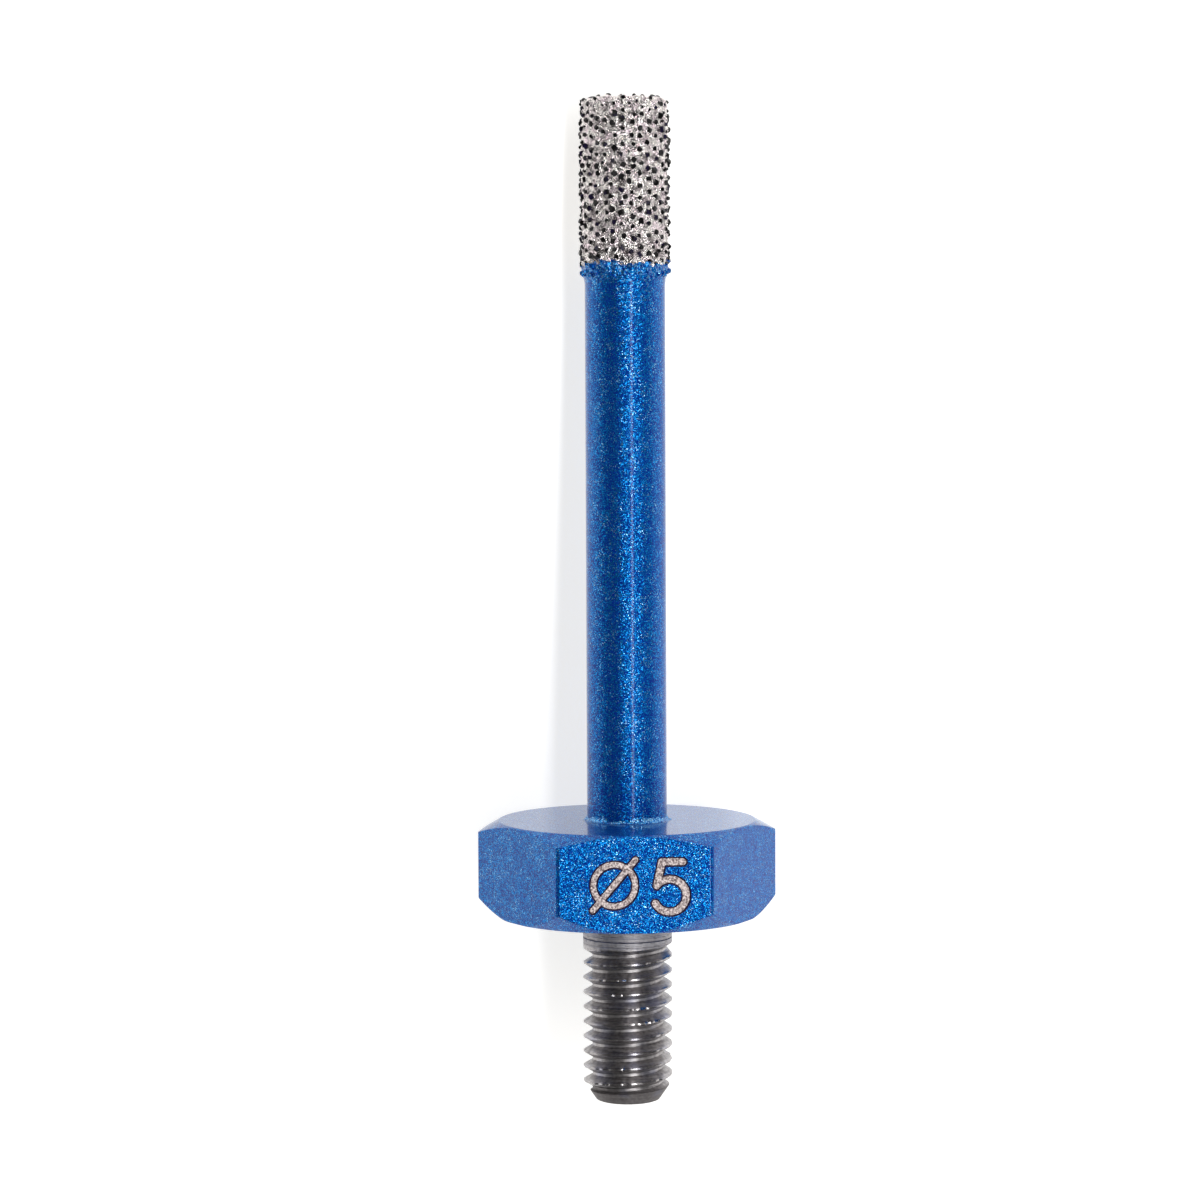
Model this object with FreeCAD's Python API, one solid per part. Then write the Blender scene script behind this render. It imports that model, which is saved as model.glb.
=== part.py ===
import FreeCAD, Part
import math
import os
import random

# Vacuum brazed core bit: a painted hex shank with a threaded stub, a thin steel core
# tube seated in it, and a band of brazed diamond grit round the tube's cutting end.
# Millimetres. The tool is first built upright, its axis on Z, with Z = 0 on the flange's
# cutting-side face, and is laid down on the floor at the end.

# Hex flange
hex_across_flats = 14.0
flange_thickness = 5.1
face_chamfer_angle = 28.5        # of the cutting-side chamfer, from the flange's face
face_chamfer_inset = 0.09        # from the flats in to that chamfer's circle
shoulder_chamfer_angle = 43.0    # of the chamfer on the stub's side
shoulder_chamfer_inset = -0.04   # less than nothing: that circle passes outside the flats' middles
cut_spare = 0.5                  # that the chamfers' cones run past the flange's edges

# Threaded stub, drawn at the thread's major diameter
stub_diameter = 4.8
stub_length = 10.1
tip_diameter = 3.35
tip_chamfer_length = 1.0

# Core tube
tube_outer_diameter = 4.3
tube_bore_diameter = 2.9
tube_reach = 38.35               # from the flange's face to the steel tube's end
seat_depth = 4.0                 # of the tube in the flange
seat_clearance = 0.02            # round the tube in its seat, on the radius
joint_fillet_leg = 0.25          # of the ring of filler at the tube's foot

# Brazed band round the tube's end
braze_length = 9.5               # from the rim down the tube
braze_edge_chamfer = 0.15
braze_run_out = 0.5              # length over which the braze thins towards the tube
braze_foot_thickness = 0.05      # of the braze where it stops

# Diamond grains: octahedra that stand on one tip, held to their middle by the braze
grain_height = 0.32              # from tip to tip
grain_height_spread = 0.22       # share of the height by which a grain may be smaller
grain_lean = 6.0                 # degrees that a grain may lean
grain_film = 0.03                # of braze between the largest grain and the steel
grain_rise = 0.02                # of a grain's middle above the braze
grain_row_pitch = 0.49           # between the rows of grains that run along the tube
grain_step = 0.62                # between the grains of one row
grain_shift_along = 0.10         # of a grain from its even place in its row
grain_shift_across = 0.05
grain_edge_margin = 0.36         # from the band's rim to the nearest grain's middle
grit_seed = 5

flat_radius = hex_across_flats / 2
corner_radius = hex_across_flats / math.sqrt(3)
tube_radius = tube_outer_diameter / 2
bore_radius = tube_bore_diameter / 2
grain_seat = grain_film + grain_height / 2
braze_thickness = grain_seat - grain_rise
braze_radius = tube_radius + braze_thickness
rim_z = tube_reach + braze_thickness
band_foot_z = rim_z - braze_length
shoulder_z = -flange_thickness
grain_rows = round(2 * math.pi * braze_radius / grain_row_pitch)
golden_share = (math.sqrt(5) - 1) / 2
up = FreeCAD.Vector(0, 0, 1)


def turned(points):
    """A solid of revolution round Z, from the (radius, z) corners of its half section."""
    corners = [FreeCAD.Vector(radius, 0, z) for radius, z in points]
    face = Part.Face(Part.makePolygon(corners + corners[:1]))
    return face.revolve(FreeCAD.Vector(), up, 360)


def prism(sides, centre_to_flat, first_flat, z_low, z_high):
    """A prism on Z. first_flat is the angle that one of its flats faces, in degrees."""
    corner_radius = centre_to_flat / math.cos(math.pi / sides)
    corners = []
    for i in range(sides):
        angle = math.radians(first_flat + 360 * (i + 0.5) / sides)
        corners.append(
            FreeCAD.Vector(corner_radius * math.cos(angle), corner_radius * math.sin(angle), z_low)
        )
    face = Part.Face(Part.makePolygon(corners + corners[:1]))
    return face.extrude(up * (z_high - z_low))


def make_shank():
    """Hex flange and stub, turned from one bar, with a blind seat for the tube."""
    outer = corner_radius + cut_spare
    face_circle = flat_radius - face_chamfer_inset
    shoulder_circle = flat_radius - shoulder_chamfer_inset
    face_drop = (outer - face_circle) * math.tan(math.radians(face_chamfer_angle))
    shoulder_rise = (outer - shoulder_circle) * math.tan(math.radians(shoulder_chamfer_angle))
    chamfers = turned(
        [
            (0, shoulder_z),
            (shoulder_circle, shoulder_z),
            (outer, shoulder_z + shoulder_rise),
            (outer, -face_drop),
            (face_circle, 0),
            (0, 0),
        ]
    )
    flange = prism(6, flat_radius, -90, shoulder_z, 0).common(chamfers)
    tip_z = shoulder_z - stub_length
    stub = turned(
        [
            (0, shoulder_z),
            (stub_diameter / 2, shoulder_z),
            (stub_diameter / 2, tip_z + tip_chamfer_length),
            (tip_diameter / 2, tip_z),
            (0, tip_z),
        ]
    )
    seat = Part.makeCylinder(
        tube_radius + seat_clearance, seat_depth, FreeCAD.Vector(0, 0, -seat_depth)
    )
    return flange.fuse(stub).cut(seat).removeSplitter()


def make_core_tube():
    """The steel tube, from the bottom of its seat to the cutting end."""
    return turned(
        [
            (bore_radius, -seat_depth),
            (tube_radius, -seat_depth),
            (tube_radius, tube_reach),
            (bore_radius, tube_reach),
        ]
    )


def make_joint_fillet():
    """The ring of filler in the corner between the tube and the flange's face."""
    return turned(
        [
            (tube_radius, 0),
            (tube_radius + joint_fillet_leg, 0),
            (tube_radius, joint_fillet_leg),
        ]
    )


def make_braze_sleeve():
    """The braze round the tube and over its rim, with a narrow flat under each row of grains."""
    outer = braze_radius / math.cos(math.pi / grain_rows) + grain_rise
    bevelled = turned(
        [
            (bore_radius, rim_z),
            (bore_radius, tube_reach),
            (tube_radius, tube_reach),
            (tube_radius, band_foot_z),
            (tube_radius + braze_foot_thickness, band_foot_z),
            (outer, band_foot_z + braze_run_out),
            (outer, rim_z - braze_edge_chamfer),
            (outer - braze_edge_chamfer, rim_z),
        ]
    )
    return bevelled.common(prism(grain_rows, braze_radius, 0, band_foot_z, rim_z))


def make_grain(height):
    """An octahedron with its middle at the origin and two of its tips on Z."""
    half = height / 2
    waist = []
    for i in range(4):
        angle = math.radians(90 * i)
        waist.append(FreeCAD.Vector(half * math.cos(angle), half * math.sin(angle), 0))
    faces = []
    for tip in (FreeCAD.Vector(0, 0, half), FreeCAD.Vector(0, 0, -half)):
        for start, end in zip(waist, waist[1:] + waist[:1]):
            faces.append(Part.Face(Part.makePolygon([start, end, tip, start])))
    solid = Part.Solid(Part.Shell(faces))
    if solid.Volume < 0:
        solid.reverse()
    return solid


def band_places(chance):
    """Middles and outward directions of the grains on the tube, row by row."""
    low = band_foot_z + braze_run_out
    high = rim_z - grain_edge_margin
    places = []
    for row in range(grain_rows):
        angle = 2 * math.pi * row / grain_rows
        outward = FreeCAD.Vector(math.cos(angle), math.sin(angle), 0)
        stagger = row * golden_share % 1
        for i in range(int((high - low) / grain_step)):
            along = grain_step * (i + stagger) + grain_shift_along * chance.uniform(-1, 1)
            across = grain_shift_across * chance.uniform(-1, 1)
            middle = outward * (tube_radius + grain_seat) + up.cross(outward) * across
            places.append((middle + up * (low + along), outward))
    return places


def rim_places():
    """Middles and outward directions of the ring of grains on the rim."""
    ring_radius = (bore_radius + braze_radius - braze_edge_chamfer) / 2
    count = int(2 * math.pi * ring_radius / grain_step)
    places = []
    for i in range(count):
        angle = 2 * math.pi * i / count
        middle = FreeCAD.Vector(math.cos(angle), math.sin(angle), 0) * ring_radius
        middle.z = tube_reach + grain_seat
        places.append((middle, up))
    return places


def make_grains(on_floor):
    """The grains, without the few that would reach below the band where it lies."""
    chance = random.Random(grit_seed)
    grains = []
    for middle, outward in band_places(chance) + rim_places():
        grain = make_grain(grain_height * (1 - grain_height_spread * chance.random()))
        stand = FreeCAD.Rotation(up, outward)
        lean_way = FreeCAD.Vector(1, chance.uniform(-1, 1), 0)
        lean = FreeCAD.Rotation(lean_way, grain_lean * chance.uniform(-1, 1))
        spin = FreeCAD.Rotation(up, 90 * chance.random())
        grain.Placement = FreeCAD.Placement(middle, stand.multiply(lean).multiply(spin))
        heights = [on_floor.multVec(corner.Point).z for corner in grain.Vertexes]
        if min(heights) > 0:
            grains.append(grain)
    return grains


def laid_down(flange, band):
    """The placement that lays the tool on the floor, Z = 0, under the tool's middle in X.

    The cutting end points to +Y and dips until the band touches the floor beside the
    lowest flat's edge, and the opposite flat faces up.
    """
    edge_setback = face_chamfer_inset * math.tan(math.radians(face_chamfer_angle))
    drop = flat_radius - braze_radius
    run = rim_z - braze_edge_chamfer + edge_setback
    turn = FreeCAD.Rotation(
        FreeCAD.Vector(1, 0, 0), -90 - math.degrees(math.atan2(drop, run))
    )
    pair = Part.makeCompound([flange, band])
    pair.Placement = FreeCAD.Placement(FreeCAD.Vector(), turn)
    box = pair.optimalBoundingBox(False, False)
    middle = FreeCAD.Vector((box.XMin + box.XMax) / 2, (box.YMin + box.YMax) / 2, box.ZMin)
    return FreeCAD.Placement(middle * -1, turn)


shank = make_shank()
braze_sleeve = make_braze_sleeve()
placement = laid_down(shank, braze_sleeve)
grains = make_grains(placement)
nodes = {
    "shank": shank,
    "core_tube": make_core_tube(),
    "joint_fillet": make_joint_fillet(),
    "braze_layer": braze_sleeve.cut(grains),
    "diamond_grit": Part.makeCompound(grains),
}

os.makedirs("parts", exist_ok=True)
for name, shape in nodes.items():
    shape.Placement = placement.multiply(shape.Placement)
    shape.exportStep(os.path.join("parts", name + ".step"))
    print(name, len(shape.Solids), "solids,", round(shape.Volume, 4), "mm3, valid", shape.isValid())

levels = {"tip": shoulder_z - stub_length, "shoulder": shoulder_z, "face": 0, "rim": rim_z}
for name, z in levels.items():
    print("axis at the", name, placement.multVec(up * z))
print("axis direction", placement.Rotation.multVec(up))
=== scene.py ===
import math
import random
from collections import Counter

import bpy
import numpy as np
from mathutils import Matrix, Vector, noise
from mathutils.kdtree import KDTree


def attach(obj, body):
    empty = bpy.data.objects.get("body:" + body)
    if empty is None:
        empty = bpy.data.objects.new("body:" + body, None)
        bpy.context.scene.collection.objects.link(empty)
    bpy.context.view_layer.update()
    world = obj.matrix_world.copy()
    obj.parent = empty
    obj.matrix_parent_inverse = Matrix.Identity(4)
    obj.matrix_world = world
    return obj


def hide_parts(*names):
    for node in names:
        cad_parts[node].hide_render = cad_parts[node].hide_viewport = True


# Looks of a small vacuum brazed core bit: a blue painted hex flange with a threaded stub
# of bare steel, a painted core tube, and a band of brazed diamond grit on its cutting end.
# Every piece is modelled upright in millimetres, with the tool's axis on Z, Z = 0 on the
# flange's cutting-side face and the marked flat towards -Y, and is then laid down.

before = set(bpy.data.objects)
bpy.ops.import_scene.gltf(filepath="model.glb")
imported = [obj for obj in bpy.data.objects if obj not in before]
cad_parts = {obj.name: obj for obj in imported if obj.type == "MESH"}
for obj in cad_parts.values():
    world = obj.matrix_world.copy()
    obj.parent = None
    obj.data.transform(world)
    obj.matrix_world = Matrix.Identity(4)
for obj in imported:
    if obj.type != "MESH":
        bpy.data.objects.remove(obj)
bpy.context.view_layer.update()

# Hex flange
hex_across_flats = 14.0
flange_thickness = 5.1
face_chamfer_angle = math.radians(28.5)
face_chamfer_inset = 0.09
shoulder_chamfer_angle = math.radians(43.0)
shoulder_chamfer_inset = -0.04
seat_depth = 4.0
seat_radius = 2.17
flange_corner_round = 0.2
flange_edge_round = 0.045
rounded_angle = math.radians(20)        # between two faces, from which their edge is rounded
cut_spare = 0.5                 # by which the hex bar and the chamfers' cutter stand out
chamfer_steps = 192             # in a full turn, as for each turned piece below
chamfer_weld = 0.03             # nearness at which two corners become one, as for all welds
flange_weld = 0.001
seam_weld = 0.0005

# Size mark on the flat towards -Y, with its points as (x, z)
mark_depth = 0.07
mark_slope = 0.085              # run of the engraving's walls from the flat to its bottom
mark_spare = 0.03               # by which the cutter stands out of the flat
mark_line = 0.46                # width of the lines of the crossed ring
digit_line = 0.53               # and of the digit
ring_middle = (-1.075, -2.58)
ring_radius = 1.085
ring_steps = 72
slash = [(-2.2, -3.88), (0.03, -1.25)]
digit_bar = [(2.48, -1.375), (1.39, -1.375)]
digit_stem = [(1.39, -1.39), (1.14, -2.6)]
bowl_middle = (1.808, -3.13)
bowl_radius = 0.855
bowl_start = 142                # in degrees
bowl_stop = -152
bowl_steps = 28
stroke_end_steps = 8
mark_weld = 0.0005

# Threaded stub
thread_radius = 2.4
thread_pitch = 0.8
groove_depth = 0.49
crest_width = 0.09
flank_angle = math.radians(30)  # from square to the axis
groove_spare = 0.055            # by which the groove's cutter stands out of the stub
groove_steps = 96
stub_length = 10.1
stub_steps = 144
stub_weld = 0.002
foot_inset = 0.04               # of the stub from the thread's radius, at the shoulder
foot_length = 0.12
land_inset = 0.01               # and at the end of that foot
land_length = 1.6
tip_radius = 1.675
tip_chamfer_length = 1.0
tip_edge = 0.05                 # from a corner of that chamfer to where its blunt edge starts
tip_edge_inset = 0.03           # of the upper blunt edge's end on the chamfer
tip_edge_drop = 0.02
tip_edge_rise = 0.04            # of the lower one's end on the chamfer
first_groove_drop = 2.25        # from the shoulder to the first groove, on the -X side
groove_end_turn = 0.68          # of a turn that the first groove runs on past the -X side
groove_fade_turn = 0.3          # of a turn over which it fades out
groove_turns = 11
nick_depth = 0.2                # of a dent in a crest, for each unit of noise over nick_start
nick_start = 0.18
nick_fineness = 2.7
nick_reach = 0.15               # below the thread's radius, to which the dents go down
nick_rise = 0.1                 # height over which they grow to their full depth
nick_run_in = 0.4               # length of thread below the land over which they begin
crest_waver = 0.003
waver_fineness = 6.1
scribe_drop = 1.25              # of the turned line on the plain land, from the shoulder
scribe_width = 0.07
scribe_depth = 0.03
scribe_shade_half = 0.02         # from the line's middle to where its painted shade starts to fade
scribe_shade_end = 0.045         # and to where it is gone
shine_start = 0.2               # below the thread's radius, where the crests' shine begins
shine_full = 0.06               # and where it is full
dull_land_fade = 0.15           # over which the land's dull finish begins at the thread
# Near the tip the steel is dull, and it is also painted darker as painted shade.
dull_shaded_tip_length = 0.72
dull_shaded_tip_fade = 0.14

# Core tube and its joint
tube_radius = 2.15
bore_radius = 1.45
tube_reach = 38.35
tube_steps = 160
joint_fillet_leg = 0.26
joint_hollow_steps = 8
joint_edge = 0.02               # by which the ring runs on past its hollow, at both ends
joint_lumps = [(0.05, 1.6), (0.03, 4.7)]        # height and fineness of each layer of lumps
hidden_overlap = 0.01           # of the ring and the band with the metal under them

# Brazed band and its grains
braze_radius = 2.32
braze_surface = braze_radius - 0.03     # before its lumps and its climb up the grains
rim_z = 38.52
band_foot_z = 29.02
band_run_out = 0.32             # of thin braze below the band's foot
band_rise = 0.75                # length over which that braze grows to its full thickness
lumps_rise = 0.6                # length over which the lumps and the climb grow to theirs
thinnest_braze = 0.003
band_steps = 236
rim_round = 0.22
rim_round_start = 18            # in degrees up from level
rim_round_steps = 5
rim_rings = 7                   # rings of corners on the rim
bore_edge = 0.08                # by which the rim's edge in the bore is blunt
grain_height = 0.32
grain_sizes = (0.66, 1.12)      # shares of the height, of the even rows' grains
grain_middle_radius = 2.31
grain_block = 0.78              # width of a crystal's cube, as a share of its size
grain_kinds = [                 # share of the cube that each corner's cut takes, and squash
    (0.36, 0.9),
    (0.26, 1.1),
    (0.42, 1.0),
    (0.30, 0.8),
    (0.2, 1.0),
]
grain_untruth = 0.05            # random shift of a crystal's corners
grain_row_pitch = 0.49
grain_step = 0.62
grain_shift_along = 0.10        # random shift of each grain in its row, both ways
grain_shift_across = 0.05
grain_shift = 0.1               # and once more of each grain in the rows and on the rim
grain_foot_margin = 0.5         # from the band's foot to the start of the rows
grain_edge_margin = 0.36        # and from their end to the rim
extra_grain_sizes = (0.45, 0.95)
extra_grain_gap = 0.39          # from a small extra grain to its nearest neighbour
extra_grain_margin = 0.12       # from its middle to the band's foot and rim
extra_grain_sink = 0.02         # of its middle below the middles of the rows
extra_grain_tries = 6000
rim_grain_rise = 0.14           # of the rim's grains above the steel tube's end
rim_grain_inset = 0.15          # of the rim's outer edge, for the middle of those grains
grain_stand = 0.1               # from a grain's middle to the point that has to clear the floor
floor_clearance = 0.0002        # of that point, in metres
least_height = 0.000001         # of the band and the grains over the floor, in metres
grit_seed = 5
shift_seed = 71
turn_seed = 19
first_shape_seed = 3
braze_step = 0.062              # between the band's rings of corners
braze_climb = 0.38              # of the braze up a grain, as a share of the grain's size
braze_skirt = 0.72              # reach of that climb round a grain, as a share of its size
braze_reach = 0.42              # of a grain, past which it lifts no braze
braze_sag = 0.045               # of the braze between the grains
braze_lumps = [                 # height, fineness and shift of each layer of lumps
    (0.045, 1.9, Vector((0, 0, 0))),
    (0.06, 4.1, Vector((7, 3, 1))),
    (0.05, 7.5, Vector((1, 8, 4))),
]

# Paint
flake_scale = 26.0
flake_tilt = 0.51
paint_edge_z = 29.75            # mean height of the paint's ragged edge on the band
paint_edge_waver = 1.1
paint_edge_blur = 0.03
band_paint_paler = 0.07
# The joint ring's paint is made paler as a painted highlight on its fillet.
joint_highlight_paler = 0.22

# Floor and light
floor_size = 8                  # in metres, as the next two
near_glow_end = 0.15            # from the floor's middle
far_glow_start = 0.9
floor_grey = 0.66
floor_glow = 0.75               # near the tool, seen by the camera and by mirrored rays alone
far_floor_glow = 1.0
floor_glow_colour = (1.0, 0.99, 0.96)
horizon_light = 0.95
ceiling_light = 0.12
horizon_height = 0.10           # of a direction, where straight up is 1
ceiling_height = 0.34
left_share = 0.8                # of that light on the left and on the right
right_share = 1.15
stub_side_share = 0.55          # behind the stub
key_place = (0.103, 0.0, 0.40)  # of the lamp, in metres, as its target and size
key_target = (0, 0, 0.006)
key_width = 0.045
key_length = 1.8
key_power = 3.0

# Camera, fitted to the photograph with the tool upright
camera_pitch = 0.05538
camera_roll = -0.00438
tool_turn = 0.04927             # about its axis
camera_stand = Vector((-1.4047, -167.719, 21.127))
focal_length = 3128.6           # in pixels of the photograph
photo_width = 1200
sensor_width = 36

flat_radius = hex_across_flats / 2
corner_radius = hex_across_flats / math.sqrt(3)
shoulder_z = -flange_thickness
land_z = shoulder_z - land_length
tip_z = shoulder_z - stub_length
dull_shaded_tip_z = tip_z + dull_shaded_tip_length
scribe_z = shoulder_z - scribe_drop
full_turn = 2 * math.pi
millimetre = 0.001              # in metres

# Where the tool lies
face_middle = Vector((0, -0.01160634995, 0.00695782961))
lying_angle = math.radians(-96.94526)
lay_down_matrix = (
    Matrix.Translation(face_middle)
    @ Matrix.Rotation(lying_angle, 4, "X")
    @ Matrix.Scale(millimetre, 4)
)


# Modelling by hand

def alone(piece):
    """Make this piece the only one selected, and the active one."""
    bpy.ops.object.select_all(action="DESELECT")
    piece.select_set(True)
    bpy.context.view_layer.objects.active = piece


def editing(piece, kind="VERT"):
    alone(piece)
    bpy.ops.object.mode_set(mode="EDIT")
    bpy.ops.mesh.select_mode(type=kind)


def done_editing():
    bpy.ops.object.mode_set(mode="OBJECT")


def apply_modifier(piece, kind, **settings):
    alone(piece)
    modifier = piece.modifiers.new(kind.lower(), kind)
    for name, value in settings.items():
        setattr(modifier, name, value)
    bpy.ops.object.modifier_apply(modifier=modifier.name)


def carve(piece, tool, operation="DIFFERENCE"):
    """Cut the piece with a tool, or keep what the two share. The tool is then thrown away."""
    apply_modifier(
        piece,
        "BOOLEAN",
        operation=operation,
        object=tool,
        solver="EXACT",
        material_mode="TRANSFER",
    )
    bpy.data.objects.remove(tool)


def merged(piece):
    """Close the seams and turn every face outwards."""
    editing(piece)
    bpy.ops.mesh.select_all(action="SELECT")
    bpy.ops.mesh.remove_doubles(threshold=seam_weld)
    bpy.ops.mesh.normals_make_consistent(inside=False)
    done_editing()


def settled(piece, nearness):
    """Weld near corners and take out faces without area and corners that only two edges meet.

    This is repeated until no corner goes.
    """
    before = 0
    while before != len(piece.data.vertices):
        before = len(piece.data.vertices)
        editing(piece)
        bpy.ops.mesh.select_all(action="SELECT")
        bpy.ops.mesh.remove_doubles(threshold=nearness)
        bpy.ops.mesh.dissolve_degenerate(threshold=nearness)
        bpy.ops.mesh.delete_loose()
        bpy.ops.mesh.select_all(action="DESELECT")
        done_editing()
        edges_met = Counter(corner for edge in piece.data.edges for corner in edge.vertices)
        for corner in piece.data.vertices:
            corner.select = edges_met[corner.index] == 2
        editing(piece)
        bpy.ops.mesh.dissolve_verts()
        done_editing()


def turned(name, section, steps):
    """A ring or solid turned round Z from the (radius, z) corners of its half section.

    A section that starts and ends on Z stays open there, and any other is closed.
    """
    solid = section[0][0] == 0 and section[-1][0] == 0
    path = section if solid else section + section[:1]
    bpy.ops.object.select_all(action="DESELECT")
    bpy.ops.mesh.primitive_plane_add(size=1, location=(0, 0, 0))
    piece = bpy.context.object
    piece.name = name
    editing(piece)
    bpy.ops.mesh.select_all(action="SELECT")
    bpy.ops.mesh.merge(type="CENTER")
    radius, z = path[0]
    bpy.ops.transform.translate(value=(radius, 0, z))
    for next_radius, next_z in path[1:]:
        step = (next_radius - radius, 0, next_z - z)
        bpy.ops.mesh.extrude_region_move(TRANSFORM_OT_translate={"value": step})
        radius, z = next_radius, next_z
    bpy.ops.mesh.select_all(action="SELECT")
    bpy.ops.mesh.spin(steps=steps, angle=full_turn, center=(0, 0, 0), axis=(0, 0, 1))
    done_editing()
    merged(piece)
    return piece


def corners_of(piece):
    """The piece's vertices as rows of x, y, z."""
    places = np.zeros(len(piece.data.vertices) * 3)
    piece.data.vertices.foreach_get("co", places)
    return places.reshape(-1, 3)


def put_corners(piece, places):
    piece.data.vertices.foreach_set("co", np.asarray(places, float).ravel())
    piece.data.update()


def finished(piece, material, nodes, smooth_angle):
    """Smooth the piece, give it its finish, lay it down and let it ride on the tool.

    A piece that has its finishes already gets no material here.
    """
    alone(piece)
    bpy.ops.object.shade_smooth_by_angle(angle=math.radians(smooth_angle))
    if material is not None:
        piece.data.materials.clear()
        piece.data.materials.append(material)
    piece.matrix_world = lay_down_matrix
    bpy.ops.object.transform_apply(location=True, rotation=True, scale=True)
    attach(piece, "root")
    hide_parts(*nodes)
    return piece


# Finishes

class Signal:
    """A value in a finish. Sums, differences and products of signals add the nodes for them."""

    def __init__(self, finish, socket):
        self.finish = finish
        self.socket = socket

    def maths(self, operation, first, second):
        return self.finish.node("Math", {"operation": operation}, {0: first, 1: second})

    def __add__(self, other):
        return self.maths("ADD", self, other)

    def __sub__(self, other):
        return self.maths("SUBTRACT", self, other)

    def __mul__(self, other):
        return self.maths("MULTIPLY", self, other)


class Finish:
    """The nodes of a material, or of the world."""

    def __init__(self, name, kind=bpy.data.materials):
        self.owner = kind.new(name)
        self.owner.use_nodes = True
        self.tree = self.owner.node_tree
        self.tree.nodes.clear()

    def node(self, kind, settings=None, sockets=None, out=0):
        """Add a node: its settings first, then the values or signals of its sockets.

        The stops of a colour ramp go with the settings. A node with an output gives its signal.
        """
        made = self.tree.nodes.new("ShaderNode" + kind)
        for name, value in (settings or {}).items():
            if name == "stops":
                for _ in value[2:]:
                    made.color_ramp.elements.new(0.5)
                for element, (position, colour) in zip(made.color_ramp.elements, value):
                    element.position = position
                    element.color = (*colour, 1)
            else:
                setattr(made, name, value)
        for name, value in (sockets or {}).items():
            target = made.inputs[name]
            if isinstance(value, Signal):
                self.tree.links.new(value.socket, target)
            elif target.type == "RGBA":
                target.default_value = (*value, 1)
            else:
                target.default_value = value
        return Signal(self, made.outputs[out]) if made.outputs else made

    def place(self):
        """Where a point is on the upright tool, in millimetres."""
        return self.node(
            "Mapping",
            {"vector_type": "TEXTURE"},
            {
                "Vector": self.node("TexCoord", out="Object"),
                "Location": face_middle,
                "Rotation": (lying_angle, 0, 0),
                "Scale": (millimetre,) * 3,
            },
        )

    def noise(self, place, scale, detail):
        return self.node("TexNoise", {}, {"Vector": place, "Scale": scale, "Detail": detail}, "Fac")

    def spread(self, value, low, high, to_low=0.0, to_high=1.0):
        """Take a value from one range to another, held at its ends."""
        return self.node(
            "MapRange",
            {"clamp": True},
            {
                "Value": value,
                "From Min": low,
                "From Max": high,
                "To Min": to_low,
                "To Max": to_high,
            },
        )

    def blend(self, share, first, second):
        """A colour between two colours."""
        return self.node("Mix", {"data_type": "RGBA"}, {0: share, 6: first, 7: second}, 2)

    def height(self, place):
        """The Z of a place or direction."""
        return self.node("SeparateXYZ", {}, {"Vector": place}, "Z")

    def bumps(self, level, depth):
        """A normal roughened by a level, of which 1 stands for depth millimetres."""
        sockets = {"Height": level, "Distance": depth * millimetre, "Strength": 1.0}
        return self.node("Bump", {}, sockets)

    def end(self, shader):
        self.node("OutputMaterial", {}, {"Surface": shader})
        return self.owner


def flake_paint(finish, place, paler):
    """Blue paint full of metal flakes under a clear coat, as a shader."""
    flakes = finish.node("TexVoronoi", {}, {"Vector": place, "Scale": flake_scale}, "Color")
    flake = finish.node("SeparateColor", {}, {"Color": flakes}, "Red")
    flake = flake + (finish.noise(place, 1.3, 3.0) - 0.5) * 0.3 + paler
    colour = finish.node(
        "ValToRGB",
        {"stops": [
            (0.0, (0.0005, 0.020, 0.27)),
            (0.45, (0.001, 0.040, 0.36)),
            (0.65, (0.002, 0.18, 0.56)),
            (0.94, (0.012, 0.34, 0.82)),
            (1.0, (0.34, 0.68, 0.95)),
        ]},
        {"Fac": flake},
    )
    chance = finish.node("TexWhiteNoise", {}, {"Vector": flakes}, "Color")
    tilt = finish.node("VectorMath", {"operation": "SUBTRACT"}, {0: chance, 1: (0.5, 0.5, 0.5)})
    tilt = finish.node("VectorMath", {"operation": "SCALE"}, {0: tilt, "Scale": flake_tilt})
    face = finish.node("NewGeometry", out="Normal")
    lean = finish.node("VectorMath", {"operation": "ADD"}, {0: face, 1: tilt})
    return finish.node(
        "BsdfPrincipled",
        {},
        {
            "Base Color": colour,
            "Metallic": finish.spread(flake, 0.35, 0.65, 0.2, 0.95),
            "Roughness": finish.spread(flake, 0.6, 0.8, 0.42, 0.3),
            "Specular IOR Level": 0.15,
            "Specular Tint": (0.05, 0.35, 0.5),
            "Normal": finish.node("VectorMath", {"operation": "NORMALIZE"}, {0: lean}),
            "Coat Weight": 1.0,
            "Coat Roughness": 0.11,
            "Coat IOR": 1.21,
        },
    )


def make_paint(name, paler=0.0):
    finish = Finish(name)
    return finish.end(flake_paint(finish, finish.place(), paler))


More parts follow.
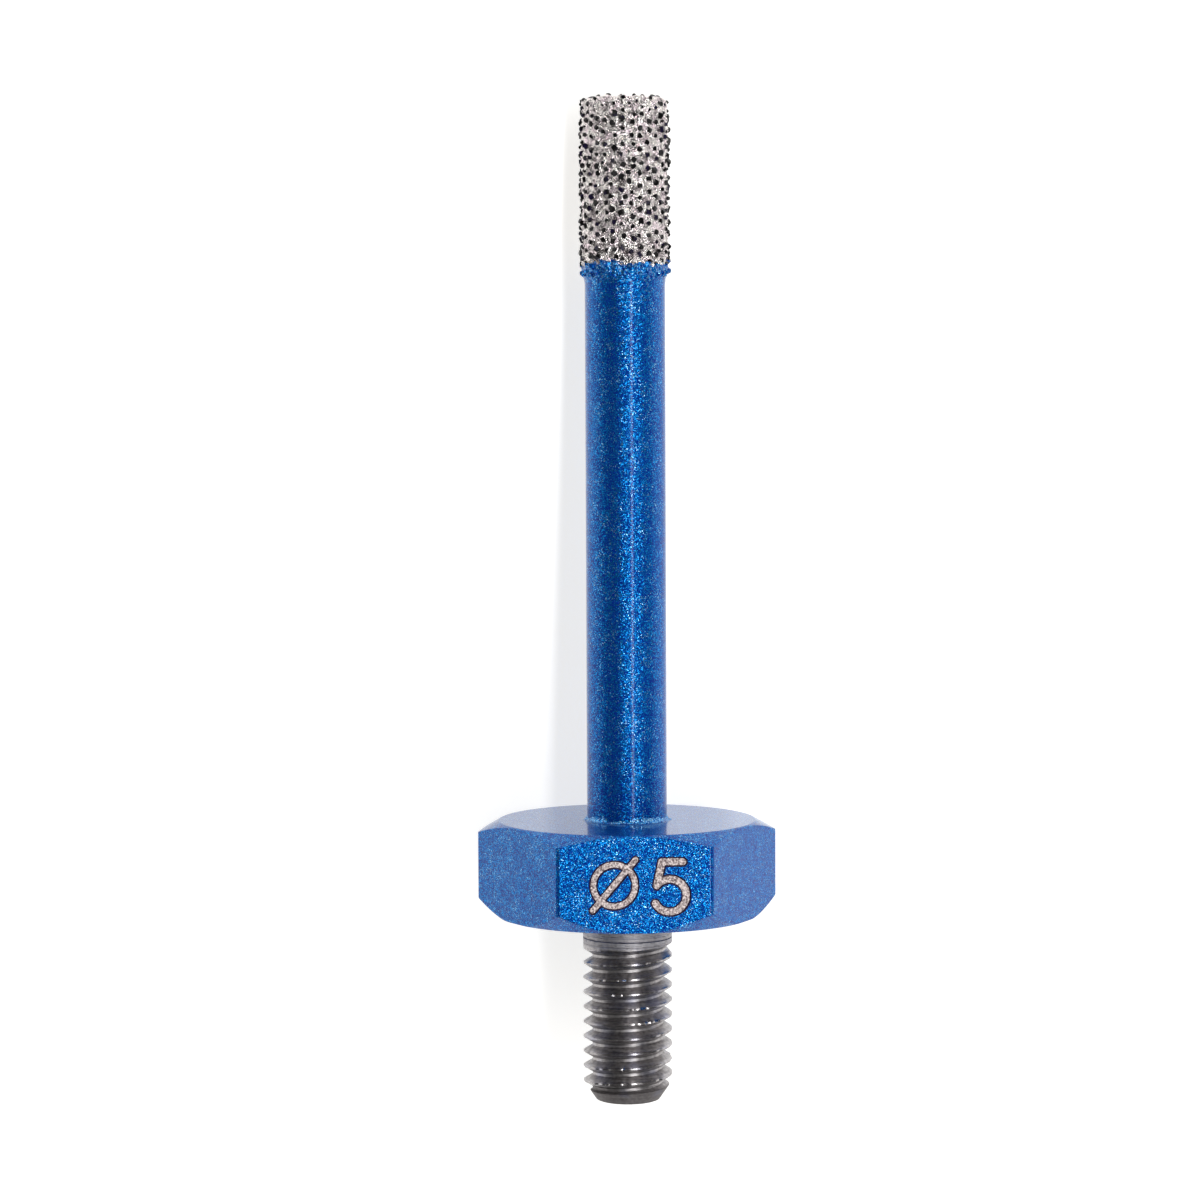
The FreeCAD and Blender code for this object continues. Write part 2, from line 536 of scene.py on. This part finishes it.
def make_turned_steel():
    """Bare machined steel: bright on the thread, dull on the land and the tip, faint blue tints,
    with painted shade at the tip and in the turned line.
    """
    finish = Finish("turned_steel")
    place = finish.place()
    height = finish.height(place)
    lines = finish.noise(finish.node("CombineXYZ", {}, {"Z": height * 9.0}), 1.0, 3.0)
    spots = finish.noise(place, 5.0, 3.0)
    land = finish.spread(height, land_z - dull_land_fade, land_z)
    tip = finish.spread(height, dull_shaded_tip_z, dull_shaded_tip_z + dull_shaded_tip_fade, 1.0, 0.0)
    from_axis = finish.node("VectorMath", {"operation": "MULTIPLY"}, {0: place, 1: (1, 1, 0)})
    from_axis = finish.node("VectorMath", {"operation": "LENGTH"}, {0: from_axis}, "Value")
    crest = finish.spread(from_axis, thread_radius - shine_start, thread_radius - shine_full)
    roughness = finish.spread(lines, 0.3, 0.7, 0.36, 0.46) - crest * 0.17
    tint = finish.spread(finish.noise(place, 0.9, 1.0), 0.5, 0.72)
    shade = finish.spread(lines + (spots - 0.5) * 0.6, 0.35, 0.65)
    grey = finish.blend(shade, (0.24, 0.225, 0.23), (0.52, 0.50, 0.50))
    grey = finish.blend(land * 0.4, grey, (0.62, 0.60, 0.62))
    fine_lines = finish.noise(finish.node("CombineXYZ", {}, {"Z": height * 15.0}), 1.0, 2.0)
    hairlines = finish.spread(fine_lines, 0.38, 0.46, 1.0, 0.0)
    drawn_out = finish.node("VectorMath", {"operation": "MULTIPLY"}, {0: place, 1: (1, 1, 6)})
    scratches = finish.spread(finish.noise(drawn_out, 2.4, 2.0), 0.57, 0.64)
    grey = finish.blend(land * (hairlines * 0.35 + scratches * 0.45), grey, (0.12, 0.11, 0.12))
    # Painted shade: the tip's chamfer is painted darker, as if turned away from the light.
    grey = finish.blend(tip * 0.7, grey, (0.08, 0.07, 0.07))
    # Painted shade darkens the turned line's groove and a little round it.
    line_start = scribe_z - scribe_shade_half
    line_stop = scribe_z + scribe_shade_half
    below = finish.spread(height, scribe_z - scribe_shade_end, line_start)
    above = finish.spread(height, line_stop, scribe_z + scribe_shade_end, 1.0, 0.0)
    grey = finish.blend(below * above * 0.6, grey, (0.04, 0.04, 0.08))
    colour = finish.blend(tint * 0.3, grey, (0.20, 0.23, 0.40))
    return finish.end(
        finish.node(
            "BsdfPrincipled",
            {},
            {
                "Base Color": colour,
                "Metallic": 1.0,
                "Roughness": roughness + land * 0.35 + tip * 0.2,
                "Normal": finish.bumps(lines * (land * 2 + 1), 0.014),
            },
        )
    )


def braze_colour(finish, place):
    blush = finish.spread(finish.noise(place, 2.2, 2.0), 0.42, 0.7)
    dull = finish.spread(finish.noise(place, 2.3, 5.0), 0.51, 0.61)
    nickel = finish.blend(blush, (0.93, 0.89, 0.86), (0.90, 0.77, 0.82))
    return finish.blend(dull * 0.7, nickel, (0.15, 0.125, 0.13))


def paint_cover(finish, place):
    """1 where the paint has run over the foot of the band, 0 above its ragged edge."""
    ragged = finish.noise(place, 2.6, 3.0) - 0.5
    edge = finish.height(place) + ragged * paint_edge_waver
    low = paint_edge_z - paint_edge_blur
    high = paint_edge_z + paint_edge_blur
    return finish.spread(edge, low, high, 1.0, 0.0)


def painted_at_foot(finish, place, bare):
    """End a finish with paint over the foot of the band and this bare one above it."""
    cover = paint_cover(finish, place)
    over = flake_paint(finish, place, band_paint_paler)
    return finish.end(finish.node("MixShader", {}, {0: cover, 1: bare, 2: over}))


def make_braze():
    """Lumpy bright nickel braze, with blue paint over its foot."""
    finish = Finish("nickel_braze")
    place = finish.place()
    grain = finish.noise(place, 5.0, 2.0)
    nickel = finish.node(
        "BsdfPrincipled",
        {},
        {
            "Base Color": braze_colour(finish, place),
            "Metallic": 1.0,
            "Roughness": finish.spread(finish.noise(place, 6.0, 2.0), 0.3, 0.7, 0.12, 0.3),
            "Normal": finish.bumps(grain, 0.22),
        },
    )
    return painted_at_foot(finish, place, nickel)


def make_diamond():
    """Dark glassy grains, some with a violet or blue cast, painted at the band's foot."""
    finish = Finish("diamond_grains")
    place = finish.place()
    cast = finish.spread(finish.noise(place, 2.3, 0.0), 0.6, 0.7)
    gem = finish.node(
        "BsdfPrincipled",
        {},
        {
            "Base Color": finish.blend(cast, (0.004, 0.0035, 0.004), (0.01, 0.006, 0.03)),
            "Roughness": 0.2,
            "IOR": 1.3,
            "Normal": finish.bumps(finish.noise(place, 20.0, 1.0), 0.01),
        },
    )
    return painted_at_foot(finish, place, gem)


def make_etched():
    """Bare metal at the bottom of the engraved mark."""
    finish = Finish("etched_metal")
    place = finish.place()
    pits = finish.noise(place, 10.0, 4.0)
    grey = finish.blend(finish.spread(pits, 0.38, 0.62), (0.20, 0.15, 0.15), (0.80, 0.70, 0.68))
    return finish.end(
        finish.node(
            "BsdfPrincipled",
            {},
            {
                "Base Color": grey,
                "Metallic": 0.8,
                "Roughness": 0.5,
                "Normal": finish.bumps(pits, 0.03),
            },
        )
    )


def make_burnt():
    """The dark violet edge round the engraved mark."""
    finish = Finish("burnt_edge")
    spots = finish.noise(finish.place(), 8.0, 1.0)
    violet = finish.blend(spots, (0.008, 0.004, 0.03), (0.03, 0.01, 0.05))
    return finish.end(
        finish.node(
            "BsdfPrincipled",
            {},
            {
                "Base Color": violet,
                "Metallic": 0.3,
                "Roughness": 0.45,
            },
        )
    )


paint = make_paint("flake_blue_paint")
# Paler paint for the joint ring: a painted highlight on its hollow fillet.
highlight_pale_paint = make_paint("highlight_pale_blue_paint", joint_highlight_paler)
turned_steel = make_turned_steel()
braze = make_braze()
diamond = make_diamond()
etched = make_etched()
burnt = make_burnt()


# Hex flange

def make_flange():
    """Hex bar with rounded corners, chamfered by two cones and bored for the tube's seat."""
    bpy.ops.object.select_all(action="DESELECT")
    bpy.ops.mesh.primitive_cylinder_add(
        vertices=6,
        radius=corner_radius,
        depth=flange_thickness + 2 * cut_spare,
        location=(0, 0, shoulder_z / 2),
        rotation=(0, 0, math.radians(30)),
    )
    flange = bpy.context.object
    flange.name = "hex_flange"
    bpy.ops.object.transform_apply(location=True, rotation=True, scale=True)
    for edge in flange.data.edges:
        a, b = (flange.data.vertices[i].co for i in edge.vertices)
        edge.select = abs(a.z - b.z) > 1
    for face in flange.data.polygons:
        face.select = False
    editing(flange, "EDGE")
    bpy.ops.mesh.bevel(offset=flange_corner_round, segments=4, affect="EDGES")
    done_editing()
    outer = corner_radius + cut_spare
    face_circle = flat_radius - face_chamfer_inset
    shoulder_circle = flat_radius - shoulder_chamfer_inset
    face_drop = (outer - face_circle) * math.tan(face_chamfer_angle)
    shoulder_rise = (outer - shoulder_circle) * math.tan(shoulder_chamfer_angle)
    section = [
        (0, -seat_depth),
        (seat_radius, -seat_depth),
        (seat_radius, 0),
        (face_circle, 0),
        (outer, -face_drop),
        (outer, shoulder_z + shoulder_rise),
        (shoulder_circle, shoulder_z),
        (0, shoulder_z),
    ]
    carve(flange, turned("chamfers", section, chamfer_steps), "INTERSECT")
    settled(flange, chamfer_weld)
    apply_modifier(
        flange,
        "BEVEL",
        width=flange_edge_round,
        segments=2,
        limit_method="ANGLE",
        angle_limit=rounded_angle,
    )
    settled(flange, flange_weld)
    return flange


def arc(middle, radius, start, stop, steps):
    """Points on an arc, with angles in degrees."""
    points = []
    for i in range(steps + 1):
        angle = math.radians(start + (stop - start) * i / steps)
        points.append((middle[0] + radius * math.cos(angle), middle[1] + radius * math.sin(angle)))
    return points


def stroke(path, width):
    """The closed outline of a stroke with round ends along a path of (x, z) points."""
    points = [Vector(point) for point in path]
    ways = [(after - before).normalized() for before, after in zip(points, points[1:])]
    outline = []
    for side, row, bends in ((1, points, ways), (-1, points[::-1], ways[::-1])):
        for i, point in enumerate(row):
            way = (bends[max(i - 1, 0)] + bends[min(i, len(bends) - 1)]).normalized() * side
            outline.append(point + Vector((-way.y, way.x)) * width / 2)
        end = bends[-1] * side
        start = math.atan2(end.y, end.x) + math.pi / 2
        for i in range(1, stroke_end_steps):
            angle = start - math.pi * i / stroke_end_steps
            outline.append(row[-1] + Vector((math.cos(angle), math.sin(angle))) * width / 2)
    return outline


def engraver(outlines, width):
    """A cutter for the marked flat. Its walls slope in towards the bottom of the engraving.

    outlines gives a form's closed outlines for a width of line, and width is that on the flat.
    """
    bottom = flat_radius - mark_depth
    top = flat_radius + mark_spare
    taper = mark_slope * (top - bottom) / mark_depth
    curve = bpy.data.curves.new("engraver", "CURVE")
    curve.dimensions = "2D"
    curve.fill_mode = "BOTH"
    curve.extrude = (top - bottom) / 2
    wide = outlines(width - 2 * mark_slope + 2 * taper)
    narrow = outlines(width - 2 * mark_slope)
    for outline in wide:
        spline = curve.splines.new("POLY")
        spline.points.add(len(outline) - 1)
        for point, (x, z) in zip(spline.points, outline):
            point.co = (x, z, 0, 1)
        spline.use_cyclic_u = True
    cutter = bpy.data.objects.new("engraver", curve)
    bpy.context.scene.collection.objects.link(cutter)
    alone(cutter)
    bpy.ops.object.convert(target="MESH")
    cutter = bpy.context.object
    merged(cutter)
    editing(cutter)
    bpy.ops.mesh.select_all(action="SELECT")
    bpy.ops.mesh.dissolve_limited(angle_limit=math.radians(1))
    done_editing()
    wide_points = [Vector(point) for outline in wide for point in outline]
    narrow_points = [Vector(point) for outline in narrow for point in outline]
    for corner in cutter.data.vertices:
        if corner.co.z < 0:
            spot = corner.co.to_2d()
            nearest = min(range(len(wide_points)), key=lambda i: (wide_points[i] - spot).length)
            corner.co.x, corner.co.y = narrow_points[nearest]
    cutter.data.materials.append(etched)
    cutter.data.materials.append(burnt)
    for face in cutter.data.polygons:
        face.material_index = 0 if abs(face.normal.z) > 0.9 else 1
    cutter.matrix_world = (
        Matrix.Translation((0, -(top + bottom) / 2, 0)) @ Matrix.Rotation(math.pi / 2, 4, "X")
    )
    bpy.ops.object.transform_apply(location=True, rotation=True, scale=True)
    return cutter


def ring_outlines(width):
    """The outer and inner outline of the mark's ring."""
    return [
        arc(ring_middle, ring_radius + half, 0, 360, ring_steps)[:-1]
        for half in (width / 2, -width / 2)
    ]


def make_mark(flange):
    """Engrave the size mark, a crossed ring and a 5, in the marked flat."""
    carve(flange, engraver(ring_outlines, mark_line))
    carve(flange, engraver(lambda width: [stroke(slash, width)], mark_line))
    bowl = arc(bowl_middle, bowl_radius, bowl_start, bowl_stop, bowl_steps)
    for path in (digit_bar, digit_stem, bowl):
        carve(flange, engraver(lambda width: [stroke(path, width)], digit_line))


flange = make_flange()
flange.data.materials.clear()
flange.data.materials.append(paint)
make_mark(flange)
settled(flange, mark_weld)
finished(flange, None, ["shank"], smooth_angle=12)
apply_modifier(flange, "WEIGHTED_NORMAL", keep_sharp=True)


# Threaded stub

def make_stub():
    """Plain land with a turned line, and below it a right-hand helical groove down to the tip."""
    section = [
        (0, shoulder_z),
        (thread_radius - foot_inset, shoulder_z),
        (thread_radius - land_inset, shoulder_z - foot_length),
        (thread_radius, scribe_z + scribe_width / 2),
        (thread_radius - scribe_depth, scribe_z),
        (thread_radius, scribe_z - scribe_width / 2),
        (thread_radius, tip_z + tip_chamfer_length + tip_edge),
        (thread_radius - tip_edge_inset, tip_z + tip_chamfer_length - tip_edge_drop),
        (tip_radius + tip_edge, tip_z + tip_edge_rise),
        (tip_radius - tip_edge, tip_z),
        (0, tip_z),
    ]
    stub = turned("threaded_stub", section, stub_steps)
    carve(stub, make_groove())
    settled(stub, stub_weld)
    places = corners_of(stub)
    for row in places:
        radius = math.hypot(row[0], row[1])
        crest = min(max((radius - thread_radius + nick_reach) / nick_rise, 0), 1)
        low = min(max((land_z - row[2]) / nick_run_in, 0), 1)
        nick = nick_depth * max(noise.noise(Vector(row) * nick_fineness) - nick_start, 0)
        nick += crest_waver * noise.noise(Vector(row) * waver_fineness)
        row[:2] *= 1 - crest * low * nick / thread_radius
    put_corners(stub, places)
    return stub


def make_groove():
    """The helical cutter of the thread's groove, which fades out in the plain land."""
    slope = math.tan(flank_angle)
    root = thread_radius - groove_depth
    root_half = (thread_pitch - crest_width) / 2 - groove_depth * slope
    outer = thread_radius + groove_spare
    outer_half = root_half + (groove_depth + groove_spare) * slope
    end_z = shoulder_z - first_groove_drop + thread_pitch * groove_end_turn
    start_z = end_z - thread_pitch * groove_turns
    bpy.ops.object.select_all(action="DESELECT")
    bpy.ops.mesh.primitive_plane_add(size=1, location=(0, 0, 0))
    groove = bpy.context.object
    groove.name = "groove_cut"
    section = [
        (root, start_z - root_half),
        (outer, start_z - outer_half),
        (outer, start_z + outer_half),
        (root, start_z + root_half),
    ]
    for index, (radius, z) in zip((0, 1, 3, 2), section):
        groove.data.vertices[index].co = (radius, 0, z)
    apply_modifier(
        groove,
        "SCREW",
        axis="Z",
        angle=full_turn,
        screw_offset=thread_pitch,
        iterations=groove_turns,
        steps=groove_steps,
        render_steps=groove_steps,
        use_merge_vertices=False,
    )
    places = corners_of(groove)
    around = np.arctan2(places[:, 1], places[:, 0]) / full_turn % 1
    rise = (places[:, 2] - start_z) / thread_pitch
    turns = around + np.round(rise - around)
    radius = np.hypot(places[:, 0], places[:, 1])
    fade = np.clip((turns - (groove_turns - groove_fade_turn)) / groove_fade_turn, 0, 1)
    faded = thread_radius + groove_spare / 2
    wider = np.minimum(radius + fade * (faded - root), faded)
    wider = np.where(radius < thread_radius, wider, radius)
    places[:, :2] *= (wider / radius)[:, None]
    put_corners(groove, places)
    groove.matrix_world = Matrix.Rotation(math.pi + full_turn * groove_end_turn, 4, "Z")
    alone(groove)
    bpy.ops.object.transform_apply(location=True, rotation=True, scale=True)
    merged(groove)
    return groove


finished(make_stub(), turned_steel, ["shank"], smooth_angle=25)


# Core tube and the filler at its foot

def make_tube():
    """The tube, painted outside and bare in its bore."""
    section = [
        (bore_radius, -seat_depth),
        (tube_radius, -seat_depth),
        (tube_radius, tube_reach),
        (bore_radius, tube_reach),
    ]
    tube = turned("painted_tube", section, tube_steps)
    tube.data.materials.append(paint)
    tube.data.materials.append(turned_steel)
    for face in tube.data.polygons:
        from_axis = math.hypot(face.center.x, face.center.y)
        face.material_index = 1 if from_axis < bore_radius + 0.1 else 0
    return tube


def make_joint_ring():
    """The ring of filler in the corner at the tube's foot, hollow in its section."""
    leg = joint_fillet_leg
    hollow = arc((tube_radius + leg, leg), leg, 180, 270, joint_hollow_steps)
    inner = tube_radius - hidden_overlap
    section = [(inner, -hidden_overlap), (inner, leg + joint_edge)]
    section += hollow + [(tube_radius + leg + joint_edge, -hidden_overlap)]
    ring = turned("joint_ring", section, tube_steps)
    places = corners_of(ring)
    for row in places:
        radius = math.hypot(row[0], row[1])
        if radius > tube_radius and row[2] > 0:
            lump = sum(height * noise.noise(Vector(row) * finer) for height, finer in joint_lumps)
            row[:2] *= 1 + lump / radius
            row[2] += lump
    put_corners(ring, places)
    return ring


finished(make_tube(), None, ["core_tube"], smooth_angle=30)
finished(make_joint_ring(), highlight_pale_paint, ["joint_fillet"], smooth_angle=40)


# Grains and the brazed band

def grain_spots():
    """Middle and outward direction of each grain in the even rows and on the rim."""
    chance = random.Random(grit_seed)
    rows = round(full_turn * braze_radius / grain_row_pitch)
    low = band_foot_z + grain_foot_margin
    high = rim_z - grain_edge_margin
    spots = []
    for row in range(rows):
        angle = full_turn * row / rows
        outward = Vector((math.cos(angle), math.sin(angle), 0))
        # Each row starts a golden share of a step after the row before it.
        stagger = row * (math.sqrt(5) - 1) / 2 % 1
        for i in range(int((high - low) / grain_step)):
            along = grain_step * (i + stagger) + grain_shift_along * chance.uniform(-1, 1)
            across = grain_shift_across * chance.uniform(-1, 1)
            middle = outward * grain_middle_radius + Vector((0, 0, 1)).cross(outward) * across
            spots.append((middle + Vector((0, 0, low + along)), outward))
    rim_radius = (bore_radius + braze_radius - rim_grain_inset) / 2
    count = int(full_turn * rim_radius / grain_step)
    for i in range(count):
        angle = full_turn * i / count
        outward = Vector((math.cos(angle), math.sin(angle), 0))
        middle = outward * rim_radius + Vector((0, 0, tube_reach + rim_grain_rise))
        spots.append((middle, Vector((0, 0, 1))))
    return spots


def scattered(spots):
    """Shift the even rows a little and add small grains in the widest gaps.

    Grains that would come too near to the floor are left out.
    """
    chance = random.Random(shift_seed)
    loose = []
    for middle, outward in spots:
        shift = Vector([chance.uniform(-1, 1) for _ in range(3)]) * grain_shift
        shift -= outward * shift.dot(outward)
        size = grain_height * chance.uniform(*grain_sizes)
        loose.append((middle + shift, outward, size))
    for _ in range(extra_grain_tries):
        angle = chance.uniform(0, full_turn)
        z = chance.uniform(band_foot_z + extra_grain_margin, rim_z - extra_grain_margin)
        outward = Vector((math.cos(angle), math.sin(angle), 0))
        middle = outward * (grain_middle_radius - extra_grain_sink) + Vector((0, 0, z))
        if all((middle - other).length > extra_grain_gap for other, _, _ in loose):
            size = grain_height * chance.uniform(*extra_grain_sizes)
            loose.append((middle, outward, size))
    return [
        (middle, outward, size)
        for middle, outward, size in loose
        if (lay_down_matrix @ (middle + outward * grain_stand)).z > floor_clearance
    ]


def grain_shapes():
    """A few blocky crystals: cubes with their corners cut off, a little out of true."""
    shapes = []
    for i, (cut, squash) in enumerate(grain_kinds):
        bpy.ops.object.select_all(action="DESELECT")
        bpy.ops.mesh.primitive_cube_add(size=grain_block)
        shape = bpy.context.object
        shape.name = "grain_shape_%d" % i
        editing(shape)
        bpy.ops.mesh.select_all(action="SELECT")
        bpy.ops.mesh.bevel(offset=grain_block * cut, segments=1, affect="VERTICES")
        bpy.ops.transform.resize(value=(1, squash, 1))
        bpy.ops.transform.vertex_random(offset=grain_untruth, seed=i + first_shape_seed)
        done_editing()
        shapes.append(shape)
    return shapes


def make_grains(spots):
    """Every grain is a copy of one of the crystals, turned its own way."""
    chance = random.Random(turn_seed)
    shapes = grain_shapes()
    grains = []
    for middle, outward, size in spots:
        grain = chance.choice(shapes).copy()
        grain.data = grain.data.copy()
        bpy.context.scene.collection.objects.link(grain)
        angle = chance.uniform(0, full_turn)
        spindle = Vector((chance.random(), chance.random(), chance.random() + 0.1)).normalized()
        turn = Matrix.Rotation(angle, 4, spindle)
        grain.matrix_world = Matrix.Translation(middle) @ turn @ Matrix.Scale(size, 4)
        grains.append(grain)
    bpy.ops.object.select_all(action="DESELECT")
    for shape in shapes:
        bpy.data.objects.remove(shape)
    for grain in grains:
        grain.select_set(True)
    bpy.context.view_layer.objects.active = grains[0]
    bpy.ops.object.join()
    joined = bpy.context.object
    joined.name = "grit"
    bpy.ops.object.transform_apply(location=True, rotation=True, scale=True)
    return joined


def make_band(spots):
    """The braze: a sleeve over the tube's end that climbs up every grain and dips between them."""
    foot = band_foot_z - band_run_out
    sleeve_radius = tube_radius - hidden_overlap
    section = [(sleeve_radius, foot)]
    bend_radius = braze_surface - rim_round
    bend_z = rim_z - rim_round
    count = int((bend_z - foot) / braze_step)
    for i in range(count + 1):
        z = foot + (bend_z - foot) * i / count
        rise = min((z - foot) / band_rise, 1)
        radius = tube_radius + (braze_surface - tube_radius) * rise * rise * (3 - 2 * rise)
        section.append((radius + thinnest_braze, z))
    section += arc((bend_radius, bend_z), rim_round, rim_round_start, 90, rim_round_steps)
    inner = bore_radius + bore_edge
    for i in range(1, rim_rings + 1):
        section.append((bend_radius + (inner - bend_radius) * i / rim_rings, rim_z))
    section += [
        (bore_radius, rim_z - bore_edge),
        (bore_radius, tube_reach),
        (sleeve_radius, tube_reach),
    ]
    band = turned("brazed_band", section, band_steps)
    tree = KDTree(len(spots))
    for i, (middle, outward, size) in enumerate(spots):
        tree.insert(middle, i)
    tree.balance()
    places = corners_of(band)
    for row in places:
        point = Vector(row)
        radius = math.hypot(point.x, point.y)
        if radius < tube_radius and point.z < rim_z - bore_edge / 2:
            continue
        outward = Vector((point.x, point.y, 0)) / radius
        if radius < braze_surface - rim_round / 2:
            outward = Vector((0, 0, 1))
        elif point.z > bend_z:
            bend = outward * bend_radius + Vector((0, 0, bend_z))
            outward = (point - bend).normalized()
        fade = min(max((point.z - foot) / lumps_rise, 0), 1)
        climb = 0
        for spot, index, distance in tree.find_range(point, braze_reach):
            size = spots[index][2]
            skirt = math.exp(-((distance / (size * braze_skirt)) ** 2))
            climb = max(climb, size * braze_climb * skirt)
        lumps = sum(
            height * noise.noise(point * finer + shift) for height, finer, shift in braze_lumps
        )
        point += outward * fade * (climb + lumps - braze_sag)
        row[:] = point
    put_corners(band, places)
    return band


def above_floor(piece):
    """Flatten what would reach under the floor, once the piece is laid down."""
    places = corners_of(piece)
    places[:, 2] = np.maximum(places[:, 2], least_height)
    put_corners(piece, places)


spots = scattered(grain_spots())
band = finished(make_band(spots), braze, ["braze_layer"], smooth_angle=60)
grit = finished(make_grains(spots), diamond, ["diamond_grit"], smooth_angle=5)
above_floor(band)
above_floor(grit)


# Floor, lights and camera

def make_floor():
    """A plain pale floor that looks white and keeps the tool's shadow."""
    bpy.ops.object.select_all(action="DESELECT")
    bpy.ops.mesh.primitive_plane_add(size=floor_size, location=(0, 0, 0))
    floor = bpy.context.object
    floor.name = "floor"
    finish = Finish("pale_floor")
    seen = finish.node("LightPath", out="Is Camera Ray")
    seen = seen + finish.node("LightPath", out="Is Glossy Ray")
    seen = seen + finish.node("LightPath", out="Is Transmission Ray")
    seen = finish.spread(seen, 0, 1)
    place = finish.node("TexCoord", out="Object")
    away = finish.node("VectorMath", {"operation": "LENGTH"}, {0: place}, "Value")
    glow = finish.spread(away, near_glow_end, far_glow_start, floor_glow, far_floor_glow)
    card = finish.node("BsdfDiffuse", {}, {"Color": (floor_grey,) * 3})
    shine = finish.node("Emission", {}, {"Color": floor_glow_colour, "Strength": seen * glow})
    floor.data.materials.append(finish.end(finish.node("AddShader", {}, {0: card, 1: shine})))


def make_world():
    """A pale ring of light low round the tool, brighter on the right and dimmer behind the stub.

    It is dim overhead. The camera itself sees it all white.
    """
    finish = Finish("studio", bpy.data.worlds)
    bpy.context.scene.world = finish.owner
    aim = finish.node("TexCoord", out="Generated")
    grey = finish.node(
        "ValToRGB",
        {"stops": [
            (horizon_height, (horizon_light,) * 3),
            (ceiling_height, (ceiling_light,) * 3),
        ]},
        {"Fac": finish.height(aim)},
    )
    across = finish.node("SeparateXYZ", {}, {"Vector": aim}, "X")
    along = finish.node("SeparateXYZ", {}, {"Vector": aim}, "Y")
    share = finish.spread(across, -0.8, 0.8, left_share, right_share)
    share = share * finish.spread(along, -0.8, 0.0, stub_side_share, 1.0)
    light = finish.node("Background", {}, {"Color": grey, "Strength": share})
    white = finish.node("Background", {}, {"Color": (1, 1, 1)})
    seen = finish.node("LightPath", out="Is Camera Ray")
    shown = finish.node("MixShader", {}, {0: seen, 1: light, 2: white})
    finish.node("OutputWorld", {}, {"Surface": shown})


def make_lamp(name, place, target, width, length, power):
    """A soft box that shines from a place towards a target, with its length along Y."""
    lamp = bpy.data.lights.new(name, "AREA")
    lamp.shape = "RECTANGLE"
    lamp.size = width
    lamp.size_y = length
    lamp.energy = power
    box = bpy.data.objects.new(name, lamp)
    bpy.context.scene.collection.objects.link(box)
    back = (Vector(place) - Vector(target)).normalized()
    side = Vector((0, 1, 0)).cross(back).normalized()
    turn = Matrix((side, back.cross(side), back)).transposed().to_4x4()
    box.matrix_world = Matrix.Translation(Vector(place)) @ turn


def make_camera():
    """The photograph's camera, fitted to the upright tool and laid down with it."""
    ahead = Vector((0, math.cos(camera_pitch), -math.sin(camera_pitch)))
    above = Vector((0, math.sin(camera_pitch), math.cos(camera_pitch)))
    across = Vector((1, 0, 0))
    right = across * math.cos(camera_roll) + above * math.sin(camera_roll)
    top = above * math.cos(camera_roll) - across * math.sin(camera_roll)
    turn = Matrix((right, top, -ahead)).transposed().to_4x4()
    upright = Matrix.Rotation(-tool_turn, 4, "Z") @ Matrix.Translation(camera_stand) @ turn
    place = lay_down_matrix @ upright
    camera = bpy.data.cameras.new("camera")
    camera.sensor_width = sensor_width
    camera.lens = focal_length / photo_width * sensor_width
    camera.clip_start = 0.01
    eye = bpy.data.objects.new("camera", camera)
    bpy.context.scene.collection.objects.link(eye)
    eye.matrix_world = Matrix.LocRotScale(place.to_translation(), place.to_quaternion(), None)
    bpy.context.scene.camera = eye


make_floor()
make_world()
make_lamp("key", key_place, key_target, key_width, key_length, key_power)
make_camera()

bpy.context.scene.view_settings.view_transform = "Standard"
